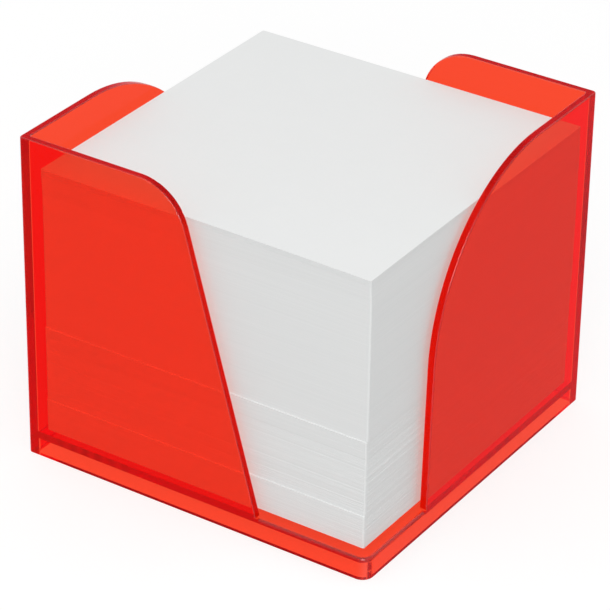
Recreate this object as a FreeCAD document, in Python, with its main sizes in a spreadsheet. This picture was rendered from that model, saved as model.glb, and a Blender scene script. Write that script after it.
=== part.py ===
import FreeCAD, Part
import math
import os
import Sketcher
from FreeCAD import Vector

# Desk holder for loose note paper: a clear plastic moulding with two L-shaped corner walls on a
# low hollow base, filled with a block of square sheets.
# Millimetres, +Z up, origin on the table under the middle of the base.
# X runs along the walls with the slanted ends, Y along the walls with the long sweeping ends.

doc = FreeCAD.newDocument("note_holder")

driving_sizes = {
    # note paper
    "paper_side": 90.0,
    "sheet_thickness": 0.1,
    "bottom_stack_height": 8.6,
    "lower_stack_height": 15.5,
    "thin_stack_height": 4.5,
    "main_stack_height": 36.1,
    "top_stack_height": 4.8,
    # where each stack has slid to in its play: 0 is the middle, 1 against the wall
    "bottom_stack_x": 0.04,
    "bottom_stack_y": 0.32,
    "lower_stack_x": 0.04,
    "lower_stack_y": 0.4,
    "thin_stack_x": 0.12,
    "thin_stack_y": 0.3,
    "main_stack_x": 0.2,
    "main_stack_y": 0.38,
    "top_stack_x": 0.16,
    "top_stack_y": 0.24,
    # holder
    "paper_clearance": 1.5,
    "wall": 2.0,
    "holder_height": 85.5,
    "skirt_height": 4.0,
    "skirt_wall": 2.0,
    "skirt_inside_radius": 1.0,
    "floor_thickness": 2.0,
    "walled_corner_radius": 1.0,
    "inside_corner_radius": 0.5,
    "open_corner_radius": 3.0,
    "floor_edge_radius": 1.0,
    "rim_radius": 0.35,
    "toe_length": 0.6,
    "foot_radius": 0.3,
    # slanted wall ends
    "slant_top_run": 33.7,
    "slant_shoulder_radius": 13.2,
    "slant_angle": 15.9,
    # sweeping wall ends
    "sweep_top_run": 26.4,
    "sweep_shoulder_radius": 43.8,
    "sweep_angle": 1.8,
}
single_sheets = 14

sizes = doc.addObject("Spreadsheet::Sheet", "sizes")
for row, (alias, value) in enumerate(driving_sizes.items(), start=1):
    sizes.set(f"A{row}", alias)
    sizes.set(f"B{row}", str(value))
    sizes.setAlias(f"B{row}", alias)
doc.recompute()


def size(alias):
    return float(sizes.get(alias))


# Lengths that follow from the driving sizes, as expressions and as numbers
outer_half_rule = "(sizes.paper_side / 2 + sizes.paper_clearance + sizes.wall)"
skirt_inner_half_rule = f"({outer_half_rule} - sizes.skirt_wall)"
floor_top_rule = "(sizes.skirt_height + sizes.floor_thickness)"
outer_half = size("paper_side") / 2 + size("paper_clearance") + size("wall")
inner_half = outer_half - size("wall")
skirt_inner_half = outer_half - size("skirt_wall")
floor_top = size("skirt_height") + size("floor_thickness")
tolerance = 1e-4


def origin_plane(body, role):
    return next(feature for feature in body.Origin.OriginFeatures if feature.Role == role)


def new_sketch(body, name, role):
    sketch = body.newObject("Sketcher::SketchObject", name)
    sketch.AttachmentSupport = [(origin_plane(body, role), "")]
    sketch.MapMode = "FlatFace"
    return sketch


def constrain(sketch, *definition):
    return sketch.addConstraint(Sketcher.Constraint(*definition))


def dimension(sketch, name, rule, *definition):
    sketch.renameConstraint(constrain(sketch, *definition), name)
    sketch.setExpression("Constraints." + name, rule)


def draw_square(sketch, half, half_rule):
    corners = [Vector(-half, -half), Vector(half, -half), Vector(half, half), Vector(-half, half)]
    for index, corner in enumerate(corners):
        sketch.addGeometry(Part.LineSegment(corner, corners[(index + 1) % 4]))
    for index in range(4):
        constrain(sketch, "Coincident", index, 2, (index + 1) % 4, 1)
        constrain(sketch, "Vertical" if index % 2 else "Horizontal", index)
    constrain(sketch, "Symmetric", 0, 1, 1, 2, -1, 1)
    dimension(sketch, "width", "2 * " + half_rule, "DistanceX", 0, 1, 0, 2, 2 * half)
    dimension(sketch, "depth", "2 * " + half_rule, "DistanceY", 1, 1, 1, 2, 2 * half)


def draw_wall(sketch, kind):
    # One wall from its corner: a level top, a round shoulder and an end that leans outwards to the floor
    low = size("skirt_height")
    high = size("holder_height")
    radius = size(kind + "_shoulder_radius")
    lean = math.radians(size(kind + "_angle"))
    top_run = size(kind + "_top_run")
    shoulder = Vector(top_run - outer_half, high - radius)
    arc_end = shoulder + Vector(radius * math.cos(lean), radius * math.sin(lean))
    foot = Vector(arc_end.x + (arc_end.y - floor_top) * math.tan(lean), floor_top)
    toe = foot + Vector(size("toe_length"), 0)
    top_end = Vector(shoulder.x, high)
    top_corner = Vector(-outer_half, high)
    low_corner = Vector(-outer_half, low)
    low_toe = Vector(toe.x, low)

    bottom = sketch.addGeometry(Part.LineSegment(low_corner, low_toe))
    toe_end = sketch.addGeometry(Part.LineSegment(low_toe, toe))
    toe_top = sketch.addGeometry(Part.LineSegment(toe, foot))
    end = sketch.addGeometry(Part.LineSegment(foot, arc_end))
    circle = Part.Circle(shoulder, Vector(0, 0, 1), radius)
    arc = sketch.addGeometry(Part.ArcOfCircle(circle, lean, math.pi / 2))
    top = sketch.addGeometry(Part.LineSegment(top_end, top_corner))
    back = sketch.addGeometry(Part.LineSegment(top_corner, low_corner))

    constrain(sketch, "Coincident", bottom, 2, toe_end, 1)
    constrain(sketch, "Coincident", toe_end, 2, toe_top, 1)
    constrain(sketch, "Coincident", toe_top, 2, end, 1)
    constrain(sketch, "Tangent", end, 2, arc, 1)
    constrain(sketch, "Tangent", arc, 2, top, 1)
    constrain(sketch, "Coincident", top, 2, back, 1)
    constrain(sketch, "Coincident", back, 2, bottom, 1)
    for level_line in (bottom, toe_top, top):
        constrain(sketch, "Horizontal", level_line)
    for upright_line in (toe_end, back):
        constrain(sketch, "Vertical", upright_line)
    dimension(sketch, "corner", outer_half_rule, "DistanceX", back, 2, -1, 1, outer_half)
    dimension(sketch, "low", "sizes.skirt_height", "DistanceY", -1, 1, back, 2, low)
    dimension(sketch, "high", "sizes.holder_height", "DistanceY", -1, 1, back, 1, high)
    dimension(sketch, "toe_height", floor_top_rule, "DistanceY", -1, 1, toe_top, 1, floor_top)
    dimension(sketch, "toe_run", "sizes.toe_length", "DistanceX", toe_top, 2, toe_top, 1, toe.x - foot.x)
    dimension(sketch, "top_run", f"sizes.{kind}_top_run", "DistanceX", top, 2, top, 1, top_run)
    dimension(sketch, "shoulder", f"sizes.{kind}_shoulder_radius", "Radius", arc, radius)
    dimension(sketch, "end_angle", f"90 deg + sizes.{kind}_angle * 1 deg", "Angle", end, math.pi / 2 + lean)


def add_pad(body, name, sketch, length_rule, inwards=False):
    pad = body.newObject("PartDesign::Pad", name)
    pad.Profile = sketch
    pad.Reversed = inwards
    pad.setExpression("Length", length_rule)
    doc.recompute()
    return pad


def round_edges(body, name, base, wanted, radius_rule):
    fillet = body.newObject("PartDesign::Fillet", name)
    names = [f"Edge{index}" for index, edge in enumerate(base.Shape.Edges, start=1) if wanted(edge)]
    fillet.Base = (base, names)
    fillet.setExpression("Radius", radius_rule)
    doc.recompute()
    return fillet


def is_upright(edge):
    return edge.BoundBox.XLength < tolerance and edge.BoundBox.YLength < tolerance


def is_level(edge, height):
    return abs(edge.BoundBox.ZMin - height) < tolerance and abs(edge.BoundBox.ZMax - height) < tolerance


def stands_on_corner(edge, half):
    box = edge.BoundBox
    on_corner = abs(abs(box.XMin) - half) < tolerance and abs(abs(box.YMin) - half) < tolerance
    return is_upright(edge) and on_corner


def is_open_corner(edge):
    # The corners at (+x, -y) and (-x, +y) are open, the other two are walled
    return stands_on_corner(edge, outer_half) and edge.BoundBox.XMin * edge.BoundBox.YMin < 0


def is_walled_corner(edge):
    return stands_on_corner(edge, outer_half)


def is_inside_corner(edge):
    return stands_on_corner(edge, inner_half) and edge.BoundBox.ZMin > floor_top - tolerance


def is_skirt_corner(edge):
    return stands_on_corner(edge, skirt_inner_half)


def is_floor_edge(edge):
    return is_level(edge, floor_top)


def is_rim(edge):
    # The long edges of the walls' tops, shoulders and ends, without the short ones across the wall
    box = edge.BoundBox
    corner_reach = max(size("walled_corner_radius"), size("wall") + size("inside_corner_radius"))
    beside_corner = min(abs(box.XMin), abs(box.YMin)) > outer_half - corner_reach - tolerance
    corner_upright = is_upright(edge) and beside_corner
    across_wall = abs(edge.Length - size("wall")) < tolerance and box.ZLength < tolerance
    return box.ZMax > floor_top + tolerance and not corner_upright and not across_wall


def is_foot(edge):
    # The outer edge that stands on the table
    box = edge.BoundBox
    reach = max(abs(box.XMin), abs(box.YMin), abs(box.XMax), abs(box.YMax))
    return is_level(edge, 0) and reach > skirt_inner_half + tolerance


def make_holder():
    body = doc.addObject("PartDesign::Body", "holder")
    body.Label = "holder"

    plan = new_sketch(body, "base_plan", "XY_Plane")
    draw_square(plan, outer_half, outer_half_rule)
    base = add_pad(body, "base", plan, floor_top_rule)
    open_corners = round_edges(body, "open_corners", base, is_open_corner, "sizes.open_corner_radius")
    floor_edge = round_edges(body, "floor_edge", open_corners, is_floor_edge, "sizes.floor_edge_radius")

    hollow_plan = new_sketch(body, "hollow_plan", "XY_Plane")
    draw_square(hollow_plan, skirt_inner_half, skirt_inner_half_rule)
    hollow = body.newObject("PartDesign::Pocket", "hollow")
    hollow.Profile = hollow_plan
    hollow.Reversed = True
    hollow.setExpression("Length", "sizes.skirt_height")
    doc.recompute()
    hollow_volume = (2 * skirt_inner_half) ** 2 * size("skirt_height")
    if abs(floor_edge.Shape.Volume - hollow.Shape.Volume - hollow_volume) > tolerance * hollow_volume:
        raise RuntimeError("the hollow under the floor is not cut")
    round_edges(body, "skirt_inside", hollow, is_skirt_corner, "sizes.skirt_inside_radius")

    slant_wall = new_sketch(body, "slant_wall_outline", "XZ_Plane")
    slant_wall.setExpression("AttachmentOffset.Base.z", outer_half_rule)
    draw_wall(slant_wall, "slant")
    slant_pad = add_pad(body, "slant_wall", slant_wall, "sizes.wall", inwards=True)
    sweep_wall = new_sketch(body, "sweep_wall_outline", "YZ_Plane")
    sweep_wall.setExpression("AttachmentOffset.Base.z", "-" + outer_half_rule)
    draw_wall(sweep_wall, "sweep")
    sweep_pad = add_pad(body, "sweep_wall", sweep_wall, "sizes.wall")

    corner_pair = body.newObject("PartDesign::PolarPattern", "corner_pair")
    corner_pair.Originals = [slant_pad, sweep_pad]
    corner_pair.Axis = (origin_plane(body, "Z_Axis"), [""])
    corner_pair.Angle = 360
    corner_pair.Occurrences = 2
    body.Tip = corner_pair
    doc.recompute()

    outside = round_edges(body, "walled_corners", corner_pair, is_walled_corner, "sizes.walled_corner_radius")
    inside = round_edges(body, "inside_corners", outside, is_inside_corner, "sizes.inside_corner_radius")
    rim = round_edges(body, "rim", inside, is_rim, "sizes.rim_radius")
    body.Tip = round_edges(body, "foot_edge", rim, is_foot, "sizes.foot_radius")
    return body


def make_paper(label, stack, thickness_rule, bottom_rule):
    paper = doc.addObject("Part::Box", label)
    paper.Label = label
    paper.setExpression("Length", "sizes.paper_side")
    paper.setExpression("Width", "sizes.paper_side")
    paper.setExpression("Height", thickness_rule)
    for axis in ("x", "y"):
        slide_rule = f"sizes.{stack}_stack_{axis} * sizes.paper_clearance"
        paper.setExpression(f"Placement.Base.{axis}", f"{slide_rule} - sizes.paper_side / 2")
    paper.setExpression("Placement.Base.z", bottom_rule)
    return paper


def make_note_block():
    # Loose stacks from the floor up, then the top sheets one by one
    block = []
    bottom_rule = floor_top_rule
    for stack in ("bottom", "lower", "thin", "main", "top"):
        height_rule = f"sizes.{stack}_stack_height"
        block.append(make_paper(f"paper_stack_{stack}", stack, height_rule, bottom_rule))
        bottom_rule = f"{bottom_rule} + {height_rule}"
    for index in range(single_sheets):
        sheet_bottom_rule = f"{bottom_rule} + {index} * sizes.sheet_thickness"
        label = f"note_sheet_{index + 1:02d}"
        block.append(make_paper(label, "top", "sizes.sheet_thickness", sheet_bottom_rule))
    return block


pieces = [make_holder()] + make_note_block()
doc.recompute()

for item in doc.Objects:
    if "Invalid" in item.State or "Error" in item.State:
        raise RuntimeError(f"{item.Label} did not build: {item.State}")
for piece in pieces:
    if piece.Shape.isNull() or not piece.Shape.isValid() or len(piece.Shape.Solids) != 1:
        raise RuntimeError(f"{piece.Label} is not one sound solid")

os.makedirs("parts", exist_ok=True)
for piece in pieces:
    piece.Shape.exportStep(f"parts/{piece.Label}.step")
print(f"{len(pieces)} pieces written")
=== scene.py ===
import bpy
import bmesh
import math
import random
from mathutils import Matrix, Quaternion, Vector


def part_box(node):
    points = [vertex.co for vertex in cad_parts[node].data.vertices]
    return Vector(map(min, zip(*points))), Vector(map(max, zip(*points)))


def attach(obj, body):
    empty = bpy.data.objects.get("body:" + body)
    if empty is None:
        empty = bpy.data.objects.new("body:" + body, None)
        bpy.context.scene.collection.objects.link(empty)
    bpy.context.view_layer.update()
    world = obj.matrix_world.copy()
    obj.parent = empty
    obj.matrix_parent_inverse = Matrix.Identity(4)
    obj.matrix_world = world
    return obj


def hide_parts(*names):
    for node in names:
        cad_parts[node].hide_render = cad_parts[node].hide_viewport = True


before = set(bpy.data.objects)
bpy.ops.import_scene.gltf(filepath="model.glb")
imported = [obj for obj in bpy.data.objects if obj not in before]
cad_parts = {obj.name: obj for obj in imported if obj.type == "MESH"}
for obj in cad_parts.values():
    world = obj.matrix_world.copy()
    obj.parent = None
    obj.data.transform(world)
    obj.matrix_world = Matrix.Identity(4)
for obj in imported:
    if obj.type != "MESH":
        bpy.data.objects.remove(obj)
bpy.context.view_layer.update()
scene = bpy.context.scene
print("frame loaded:", len(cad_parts), "pieces")


# small helpers for shader trees
def newTree(owner):
    owner.use_nodes = True
    tree = owner.node_tree
    tree.nodes.clear()
    return tree


def addNode(tree, kind, place, **settings):
    node = tree.nodes.new(kind)
    node.location = place
    for key, value in settings.items():
        if key in node.inputs:
            node.inputs[key].default_value = value
        else:
            setattr(node, key, value)
    return node


def link(tree, fromSocket, toSocket):
    tree.links.new(fromSocket, toSocket)


def feed(tree, value, socket):
    # a plain number is set on the socket, another socket is linked to it
    if isinstance(value, float):
        socket.default_value = value
    else:
        link(tree, value, socket)


def addMath(tree, operation, values, place):
    node = addNode(tree, "ShaderNodeMath", place, operation=operation)
    for socket, value in zip(node.inputs, values):
        feed(tree, value, socket)
    return node.outputs[0]


def addRange(tree, value, before, after, place):
    # stretches a value from one span to another
    node = addNode(tree, "ShaderNodeMapRange", place)
    for name, number in zip(("From Min", "From Max", "To Min", "To Max"), (*before, *after)):
        node.inputs[name].default_value = number
    link(tree, value, node.inputs["Value"])
    return node.outputs["Result"]


def addNoise(tree, position, place, **settings):
    node = addNode(tree, "ShaderNodeTexNoise", place, **settings)
    link(tree, position, node.inputs["Vector"])
    return node


def addMixShader(tree, share, first, second, place):
    node = addNode(tree, "ShaderNodeMixShader", place)
    feed(tree, share, node.inputs["Fac"])
    link(tree, first, node.inputs[1])
    link(tree, second, node.inputs[2])
    return node.outputs[0]


wholeSpan = (0.0, 1.0)

# camera: found from the straight edges of the walls and the paper
cameraView = {
    "lens": 193.604,
    "sensor": 36.0,
    "clipStart": 0.01,
    "place": (0.3727, -0.5694, 0.43087),
    "lookAt": (-0.00895, 0.01183, 0.02537),
    "roll": 0.90,   # degrees, the holder leans a touch in the picture
}


def makeCamera():
    lens = bpy.data.cameras.new("photoCamera")
    lens.lens = cameraView["lens"]
    lens.sensor_width = cameraView["sensor"]
    lens.clip_start = cameraView["clipStart"]
    camera = bpy.data.objects.new("photoCamera", lens)
    scene.collection.objects.link(camera)
    camera.location = cameraView["place"]
    gaze = Vector(cameraView["lookAt"]) - camera.location
    turn = Quaternion((0, 0, 1), math.radians(cameraView["roll"]))
    camera.rotation_mode = "QUATERNION"
    camera.rotation_quaternion = gaze.to_track_quat("-Z", "Y") @ turn
    scene.camera = camera


# light: an even white tent, with one soft lamp behind the camera and above it
studio = {
    "tent": 0.70,
    "white": 1.0,           # the tent as the camera, gloss and clear plastic see it
    "lampPlace": (0.80, -1.20, 1.07),
    "lampSize": 1.2,
    "lampPower": 14.2,
    "floorCloud": {"Scale": 3.0, "Detail": 4.0},
    "floorTones": (0.37, 0.39),
    "floorLift": 0.665,     # brings the bare floor up to white, shadow kept
    "floorRadius": 2.5,
    "floorSides": 96,
    "floorDrop": 0.00006,
}


def seenDirectly(tree, place):
    # 1 for rays that look at the backdrop, straight or by way of gloss and clear plastic
    left, up = place
    rays = addNode(tree, "ShaderNodeLightPath", place)
    direct = (rays.outputs["Is Camera Ray"], rays.outputs["Is Glossy Ray"])
    gloss = addMath(tree, "MAXIMUM", direct, (left + 200, up))
    return addMath(tree, "MAXIMUM", (gloss, rays.outputs["Is Transmission Ray"]), (left + 400, up))


def makeTent():
    world = bpy.data.worlds.new("whiteTent")
    scene.world = world
    tree = newTree(world)
    seen = seenDirectly(tree, (-600, 0))
    level = addRange(tree, seen, wholeSpan, (studio["tent"], studio["white"]), (200, 0))
    white = addNode(tree, "ShaderNodeBackground", (400, 0), Color=(1, 1, 1, 1))
    link(tree, level, white.inputs["Strength"])
    out = addNode(tree, "ShaderNodeOutputWorld", (600, 0))
    link(tree, white.outputs[0], out.inputs["Surface"])


def makeLamp():
    light = bpy.data.lights.new("softLamp", "AREA")
    light.shape = "DISK"
    light.size = studio["lampSize"]
    light.energy = studio["lampPower"]
    lamp = bpy.data.objects.new("softLamp", light)
    scene.collection.objects.link(lamp)
    lamp.location = studio["lampPlace"]
    lamp.rotation_euler = (-lamp.location).to_track_quat("-Z", "Y").to_euler()


def makeFloor():
    mesh = bpy.data.meshes.new("floor")
    shape = bmesh.new()
    bmesh.ops.create_circle(shape, cap_ends=True, segments=studio["floorSides"],
                            radius=studio["floorRadius"])
    shape.to_mesh(mesh)
    shape.free()
    floor = bpy.data.objects.new("floor", mesh)
    floor.location.z = -studio["floorDrop"]
    scene.collection.objects.link(floor)
    material = bpy.data.materials.new("paleFloor")
    tree = newTree(material)
    position = addNode(tree, "ShaderNodeTexCoord", (-800, 200)).outputs["Object"]
    cloud = addNoise(tree, position, (-600, 200), **studio["floorCloud"])
    tone = addRange(tree, cloud.outputs["Fac"], wholeSpan, studio["floorTones"], (-400, 200))
    matt = addNode(tree, "ShaderNodeBsdfDiffuse", (-200, 200))
    link(tree, tone, matt.inputs["Color"])
    seen = seenDirectly(tree, (-800, -100))
    lift = addMath(tree, "MULTIPLY", (seen, studio["floorLift"]), (0, -100))
    glow = addNode(tree, "ShaderNodeEmission", (200, -100))
    link(tree, lift, glow.inputs["Strength"])
    both = addNode(tree, "ShaderNodeAddShader", (400, 100))
    link(tree, matt.outputs[0], both.inputs[0])
    link(tree, glow.outputs[0], both.inputs[1])
    out = addNode(tree, "ShaderNodeOutputMaterial", (600, 100))
    link(tree, both.outputs[0], out.inputs["Surface"])
    mesh.materials.append(material)


# clear red plastic, tinted all through
plastic = {
    "body": {
        "IOR": 1.42,
        "Base Color": (0.97, 0.075, 0.03, 1.0),      # one wall thickness
        "Transmission Weight": 1.0,
        "Specular Tint": (0.25, 0.11, 0.16, 1.0),    # the flat walls reflect very little
        "Thin Film Thickness": 1.0,                  # nanometres; keeps that so at slanting angles
        "Thin Film IOR": 1.33,
        "Coat IOR": 1.5,                             # the rounded edges catch more light
        "Coat Roughness": 0.05,
    },
    "inside": {
        "Color": (0.94, 0.25, 0.0, 1.0),             # what is left after a long way inside
        "Density": 40.0,
    },
    "smear": {"Scale": 60.0, "Detail": 5.0, "Roughness": 0.6},
    "smearSpan": (0.35, 0.75),
    "roughness": (0.04, 0.09),                       # clean, and where it is smeared
    "flow": {"Scale": 35.0, "Detail": 1.0},
    "wave": {"Strength": 0.02, "Distance": 0.001},
    "softPass": 0.65,                                # share of soft light that stays untinted
}


def addSides(tree, vector, place):
    # a vector's parts along x, y and z, without their signs
    plain = addNode(tree, "ShaderNodeVectorMath", place, operation="ABSOLUTE")
    link(tree, vector, plain.inputs[0])
    parts = addNode(tree, "ShaderNodeSeparateXYZ", (place[0] + 200, place[1]))
    link(tree, plain.outputs[0], parts.inputs[0])
    return parts.outputs


def roundedEdges(tree, position, place):
    # 0 on the flat sides and cut ends of the walls, up to 1 on the round edges between them
    left, up = place
    facing = addNode(tree, "ShaderNodeNewGeometry", (left - 200, up - 200))
    spot = addSides(tree, position, (left, up))
    normal = addSides(tree, facing.outputs["True Normal"], (left, up - 200))
    sweepWall = addMath(tree, "GREATER_THAN", (spot["X"], spot["Y"]), (left + 400, up))
    through = addNode(tree, "ShaderNodeMix", (left + 600, up - 100))
    link(tree, sweepWall, through.inputs["Factor"])
    link(tree, normal["Y"], through.inputs["A"])
    link(tree, normal["X"], through.inputs["B"])
    share = through.outputs["Result"]
    rest = addMath(tree, "SUBTRACT", (1.0, share), (left + 800, up - 200))
    both = addMath(tree, "MULTIPLY", (share, rest), (left + 1000, up - 100))   # 1/4 at most
    return addMath(tree, "MULTIPLY", (both, 4.0), (left + 1200, up - 100))


def makePlastic():
    material = bpy.data.materials.new("clearRedPlastic")
    tree = newTree(material)
    position = addNode(tree, "ShaderNodeTexCoord", (-1000, 0)).outputs["Object"]
    smear = addNoise(tree, position, (-800, 200), **plastic["smear"]).outputs["Fac"]
    rough = addRange(tree, smear, plastic["smearSpan"], plastic["roughness"], (-600, 200))
    flow = addNoise(tree, position, (-800, -100), **plastic["flow"])
    wave = addNode(tree, "ShaderNodeBump", (-600, -100), **plastic["wave"])
    link(tree, flow.outputs["Fac"], wave.inputs["Height"])
    body = addNode(tree, "ShaderNodeBsdfPrincipled", (-300, 100), **plastic["body"])
    link(tree, roundedEdges(tree, position, (-1800, -500)), body.inputs["Coat Weight"])
    link(tree, rough, body.inputs["Roughness"])
    link(tree, wave.outputs["Normal"], body.inputs["Normal"])
    # the lamp's light reaches the paper freely, and a share of the soft light does too
    rays = addNode(tree, "ShaderNodeLightPath", (-300, 500))
    clear = addNode(tree, "ShaderNodeBsdfTransparent", (-300, -350)).outputs[0]
    tinted = body.outputs[0]
    partly = addMixShader(tree, plastic["softPass"], tinted, clear, (-50, -250))
    soft = addMixShader(tree, rays.outputs["Is Diffuse Ray"], tinted, partly, (-50, 200))
    surface = addMixShader(tree, rays.outputs["Is Shadow Ray"], soft, clear, (100, 100))
    inside = addNode(tree, "ShaderNodeVolumeAbsorption", (100, -150), **plastic["inside"])
    out = addNode(tree, "ShaderNodeOutputMaterial", (400, 0))
    link(tree, surface, out.inputs["Surface"])
    link(tree, inside.outputs[0], out.inputs["Volume"])
    return material


# note paper: the bundles with their cut edges, and the single sheets on top
paper = {
    "sheet": 0.0001,
    "steps": 12,              # divisions along each side of a sheet
    "corner": 0.0003,         # the sheets' corners are a little soft
    "cornerCut": 0.4,         # share of that length by which a corner is drawn in
    "sharpAngle": 30,         # degrees
    "sag": 0.0005,            # the loose front corner lies lower than the rest
    "sagReach": 0.06,
    "sagDepth": 0.03,
    "gap": 0.00001,           # air between loose sheets
    # bundle: largest group of sheets that moves together, how far groups slide, how far they turn,
    # and how far the bundle leans at its foot (first pair) and at its top (second pair)
    "bundles": {
        "paper_stack_bottom": (3, 0.00001, 0.00028, (0.0, 0.0), (0.0, -0.00012)),
        "paper_stack_lower": (3, 0.00001, 0.00028, (0.0, 0.0), (0.0, 0.0)),
        "paper_stack_thin": (4, 0.000007, 0.0002, (0.0, 0.0), (0.0, -0.00012)),
        "paper_stack_main": (12, 0.000003, 0.00004, (0.0, 0.0), (0.0, 0.0)),
        "paper_stack_top": (6, 0.000003, 0.00004, (0.00006, 0.00021), (0.0, 0.0)),
    },
    "pressed": ("paper_stack_main", "paper_stack_top"),   # bundles whose edges lie closer
    "seed": 7,
    "seedStep": 31,
}
blockTop = max(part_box(node)[1].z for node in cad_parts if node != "holder")
frontCorner = Vector((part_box("paper_stack_top")[1].x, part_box("paper_stack_top")[0].y))


def settled(x, y, z):
    # loose paper gives a little at the open front corner, less and less further down
    away = (Vector((x, y)) - frontCorner).length
    corner = max(0.0, 1.0 - away / paper["sagReach"]) ** 2
    depth = max(0.0, 1.0 - (blockTop - z) / paper["sagDepth"]) ** 2
    return Vector((x, y, z - paper["sag"] * corner * depth))


def sheetMarks(low, high):
    # shares along a side: even steps, and one mark close to each corner
    near = paper["corner"] / (high.x - low.x)
    even = [step / paper["steps"] for step in range(1, paper["steps"])]
    return [0.0, near] + even + [1.0 - near, 1.0]


def sheetPoint(low, high, u, v, turn):
    # a point of a sheet that lies turned a little about its middle
    middle = (low + high) / 2
    x = low.x + (high.x - low.x) * u
    y = low.y + (high.y - low.y) * v
    return x - (y - middle.y) * turn, y + (x - middle.x) * turn


def sheetOutline(low, high, turn):
    # points round one sheet, counter-clockwise from its low corner, corners softened
    marks = sheetMarks(low, high)
    soft = paper["cornerCut"] * marks[1]
    points = []
    for side in range(4):
        for along in marks[:-1]:
            u, v = [(along, 0), (1, along), (1 - along, 1), (0, 1 - along)][side]
            if along == 0.0:
                u, v = abs(u - soft), abs(v - soft)
            points.append(sheetPoint(low, high, u, v, turn))
    return points


def addCap(shape, ring, low, high, turn, z, upwards):
    # a sheet's face as a grid that ends on its outline
    marks = sheetMarks(low, high)
    cells = len(marks) - 1
    grid = {}
    for index, vert in enumerate(ring):
        side, step = divmod(index, cells)
        column, row = [(step, 0), (cells, step), (cells - step, cells), (0, cells - step)][side]
        grid[column, row] = vert
    for column in range(1, cells):
        for row in range(1, cells):
            x, y = sheetPoint(low, high, marks[column], marks[row], turn)
            grid[column, row] = shape.verts.new(settled(x, y, z))
    for column in range(cells):
        for row in range(cells):
            right, above = column + 1, row + 1
            corners = [grid[column, row], grid[right, row], grid[right, above], grid[column, above]]
            face = shape.faces.new(corners if upwards else corners[::-1])
            face.smooth = True


def addBand(shape, lowRing, highRing, slot):
    for index in range(len(lowRing)):
        following = (index + 1) % len(lowRing)
        corners = [lowRing[index], lowRing[following], highRing[following], highRing[index]]
        face = shape.faces.new(corners)
        face.material_index = slot


def makeBundle(node, layers, edge):
    # layers: (bottom, top, slide, turn) of each group of sheets, from the bottom up
    low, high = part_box(node)
    shape = bmesh.new()
    below = None
    for index, (bottom, top, slide, turn) in enumerate(layers):
        outline = sheetOutline(low + slide, high + slide, turn)
        lowRing = [shape.verts.new(settled(x, y, bottom)) for x, y in outline]
        highRing = [shape.verts.new(settled(x, y, top)) for x, y in outline]
        if below:
            addBand(shape, below, lowRing, 0)
        else:
            addCap(shape, lowRing, low + slide, high + slide, turn, bottom, False)
        addBand(shape, lowRing, highRing, 1)
        below = highRing
        if index == len(layers) - 1:
            addCap(shape, highRing, low + slide, high + slide, turn, top, True)
    mesh = bpy.data.meshes.new(node + "_paper")
    shape.normal_update()
    shape.to_mesh(mesh)
    shape.free()
    for material in (paperFace, edge):
        mesh.materials.append(material)
    mesh.set_sharp_from_angle(angle=math.radians(paper["sharpAngle"]))
    piece = bpy.data.objects.new(node + "_paper", mesh)
    scene.collection.objects.link(piece)
    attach(piece, node)
    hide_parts(node)


def bundleLayers(node):
    # groups of sheets that have slid and turned a little
    low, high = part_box(node)
    largest, slide, turn, foot, head = paper["bundles"][node]
    chance = random.Random(paper["seed"] + len(node) * paper["seedStep"])
    layers = []
    bottom = low.z + paper["gap"]
    while bottom < high.z - paper["sheet"] / 2:
        top = bottom + chance.randint(1, largest) * paper["sheet"]
        if top > high.z - paper["sheet"] / 2:
            top = high.z - paper["gap"]
        rise = (top - low.z) / (high.z - low.z)
        lean = Vector((*foot, 0)).lerp(Vector((*head, 0)), rise)
        slip = Vector((chance.gauss(0, slide), chance.gauss(0, slide), 0))
        layers.append((bottom, top, lean + slip, chance.gauss(0, turn)))
        bottom = top
    return layers


def makeNotePaper():
    for node in paper["bundles"]:
        edge = paperEdgePressed if node in paper["pressed"] else paperEdgeLoose
        makeBundle(node, bundleLayers(node), edge)
    chance = random.Random(paper["seed"])
    singles = sorted(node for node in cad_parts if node.startswith("note_sheet"))
    slide, turn = paper["bundles"]["paper_stack_top"][1:3]
    for node in singles:
        low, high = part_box(node)
        slip = Vector((chance.gauss(0, slide), chance.gauss(0, slide), 0))
        layer = (low.z, high.z - paper["gap"], slip, chance.gauss(0, turn))
        makeBundle(node, [layer], paperEdgePressed)
    print("note paper made:", len(paper["bundles"]), "bundles and", len(singles), "sheets")


# paper finish: fine fibres on every sheet, and lines between sheets on the cut edges
paperFinish = {
    "white": (0.87, 0.88, 0.877, 1.0),
    "shade": (0.83, 0.84, 0.837, 1.0),
    "edgeLight": (0.86, 0.872, 0.868, 1.0),
    "edgeDark": (0.82, 0.832, 0.828, 1.0),
    "body": {"Roughness": 0.75, "Specular IOR Level": 0.25},
    "fibreScale": 1400.0,
    "fibre": {"Detail": 6.0, "Roughness": 0.65, "Distortion": 0.6},
    "fibreShare": 0.65,
    "cloud": {"Scale": 120.0, "Detail": 3.0},
    "cloudShare": 0.35,
    "lines": 9000.0,
    "streak": {"Scale": 1.0, "Detail": 2.0, "Roughness": 0.7},
    "streakSpan": (0.3, 0.7),
    "faceRelief": 0.12,
    "reliefDepth": 0.00005,
    "pressedEdge": (12.0, 0.03),   # streaks to the metre along the edge, and their relief
    "looseEdge": (25.0, 0.08),
}
darkSocket, lightSocket, blendSocket = 6, 7, 2   # a Mix node's sockets for colours


def newGroup(name, wanted, given):
    group = bpy.data.node_groups.new(name, "ShaderNodeTree")
    for socket in wanted:
        group.interface.new_socket(socket, in_out="INPUT", socket_type="NodeSocketFloat")
    group.interface.new_socket(given, in_out="OUTPUT", socket_type="NodeSocketFloat")
    start = addNode(group, "NodeGroupInput", (-1000, 0)).outputs
    end = addNode(group, "NodeGroupOutput", (400, 0)).inputs[given]
    position = addNode(group, "ShaderNodeTexCoord", (-1000, -200)).outputs["Object"]
    return group, start, end, position


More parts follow.
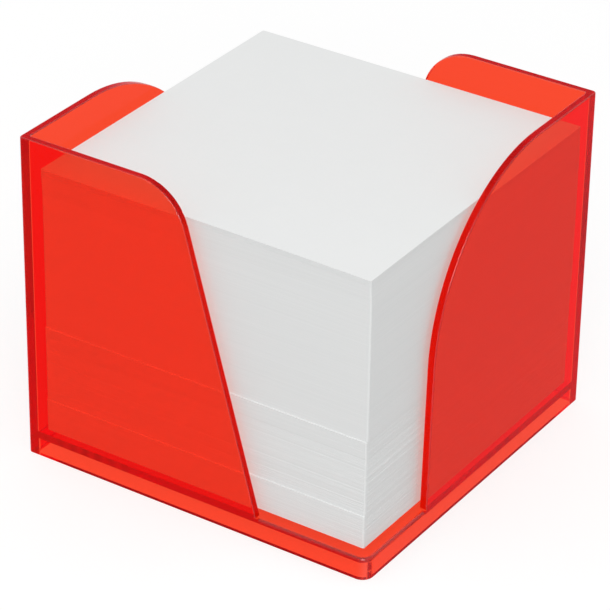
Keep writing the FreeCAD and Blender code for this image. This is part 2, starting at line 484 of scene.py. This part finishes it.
def makeFibreGroup():
    # fine cloudy fibres, as a mask
    group, start, end, position = newGroup("paperFibre", ["Scale"], "Fibre")
    fine = addNoise(group, position, (-300, 100), **paperFinish["fibre"])
    link(group, start["Scale"], fine.inputs["Scale"])
    cloud = addNoise(group, position, (-300, -200), **paperFinish["cloud"])
    part = addMath(group, "MULTIPLY", (fine.outputs["Fac"], paperFinish["fibreShare"]), (0, 200))
    mixed = (cloud.outputs["Fac"], paperFinish["cloudShare"], part)
    link(group, addMath(group, "MULTIPLY_ADD", mixed, (200, 0)), end)
    return group


def makeCutLinesGroup():
    # lines between the cut sheets, as a mask: long level streaks that come and go along the edge
    group, start, end, position = newGroup("cutLines", ["Lines", "Reach"], "Streak")
    scales = addNode(group, "ShaderNodeCombineXYZ", (-800, 0))
    for axis, source in (("X", "Reach"), ("Y", "Reach"), ("Z", "Lines")):
        link(group, start[source], scales.inputs[axis])
    squeeze = addNode(group, "ShaderNodeVectorMath", (-600, -100), operation="MULTIPLY")
    link(group, position, squeeze.inputs[0])
    link(group, scales.outputs[0], squeeze.inputs[1])
    streak = addNoise(group, squeeze.outputs[0], (-400, -100), **paperFinish["streak"])
    mask = addRange(group, streak.outputs["Fac"], paperFinish["streakSpan"], wholeSpan, (-100, 0))
    link(group, mask, end)
    return group


def startPaper(name):
    material = bpy.data.materials.new(name)
    tree = newTree(material)
    body = addNode(tree, "ShaderNodeBsdfPrincipled", (300, 100), **paperFinish["body"])
    out = addNode(tree, "ShaderNodeOutputMaterial", (600, 100))
    link(tree, body.outputs[0], out.inputs["Surface"])
    return material, tree, body


def addTone(tree, mask, dark, light, body):
    tone = addNode(tree, "ShaderNodeMix", (-100, 200), data_type="RGBA")
    tone.inputs[darkSocket].default_value = dark
    tone.inputs[lightSocket].default_value = light
    link(tree, mask, tone.inputs["Factor"])
    link(tree, tone.outputs[blendSocket], body.inputs["Base Color"])


def addRelief(tree, mask, strength, body):
    bump = addNode(tree, "ShaderNodeBump", (0, -200), Strength=strength,
                   Distance=paperFinish["reliefDepth"])
    link(tree, mask, bump.inputs["Height"])
    link(tree, bump.outputs["Normal"], body.inputs["Normal"])


def makePaperFace():
    material, tree, body = startPaper("paperFace")
    fibre = addNode(tree, "ShaderNodeGroup", (-400, 100))
    fibre.node_tree = fibreGroup
    fibre.inputs["Scale"].default_value = paperFinish["fibreScale"]
    addTone(tree, fibre.outputs["Fibre"], paperFinish["shade"], paperFinish["white"], body)
    addRelief(tree, fibre.outputs["Fibre"], paperFinish["faceRelief"], body)
    return material


def makePaperEdge(name, reach, strength):
    material, tree, body = startPaper(name)
    lines = addNode(tree, "ShaderNodeGroup", (-400, 100))
    lines.node_tree = cutLinesGroup
    lines.inputs["Lines"].default_value = paperFinish["lines"]
    lines.inputs["Reach"].default_value = reach
    addTone(tree, lines.outputs["Streak"], paperFinish["edgeDark"], paperFinish["edgeLight"], body)
    addRelief(tree, lines.outputs["Streak"], strength, body)
    return material


makeCamera()
makeTent()
makeLamp()
makeFloor()
print("studio ready")

clearRed = makePlastic()
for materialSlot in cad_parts["holder"].material_slots:
    materialSlot.material = clearRed
print("holder dressed in", clearRed.name)

fibreGroup = makeFibreGroup()
cutLinesGroup = makeCutLinesGroup()
paperFace = makePaperFace()
paperEdgePressed = makePaperEdge("paperEdgePressed", *paperFinish["pressedEdge"])
paperEdgeLoose = makePaperEdge("paperEdgeLoose", *paperFinish["looseEdge"])
makeNotePaper()

scene.view_settings.view_transform = "Standard"
lightBounces = 128                     # light runs far inside the clear walls
scene.cycles.max_bounces = lightBounces
scene.cycles.glossy_bounces = lightBounces
scene.cycles.transmission_bounces = lightBounces
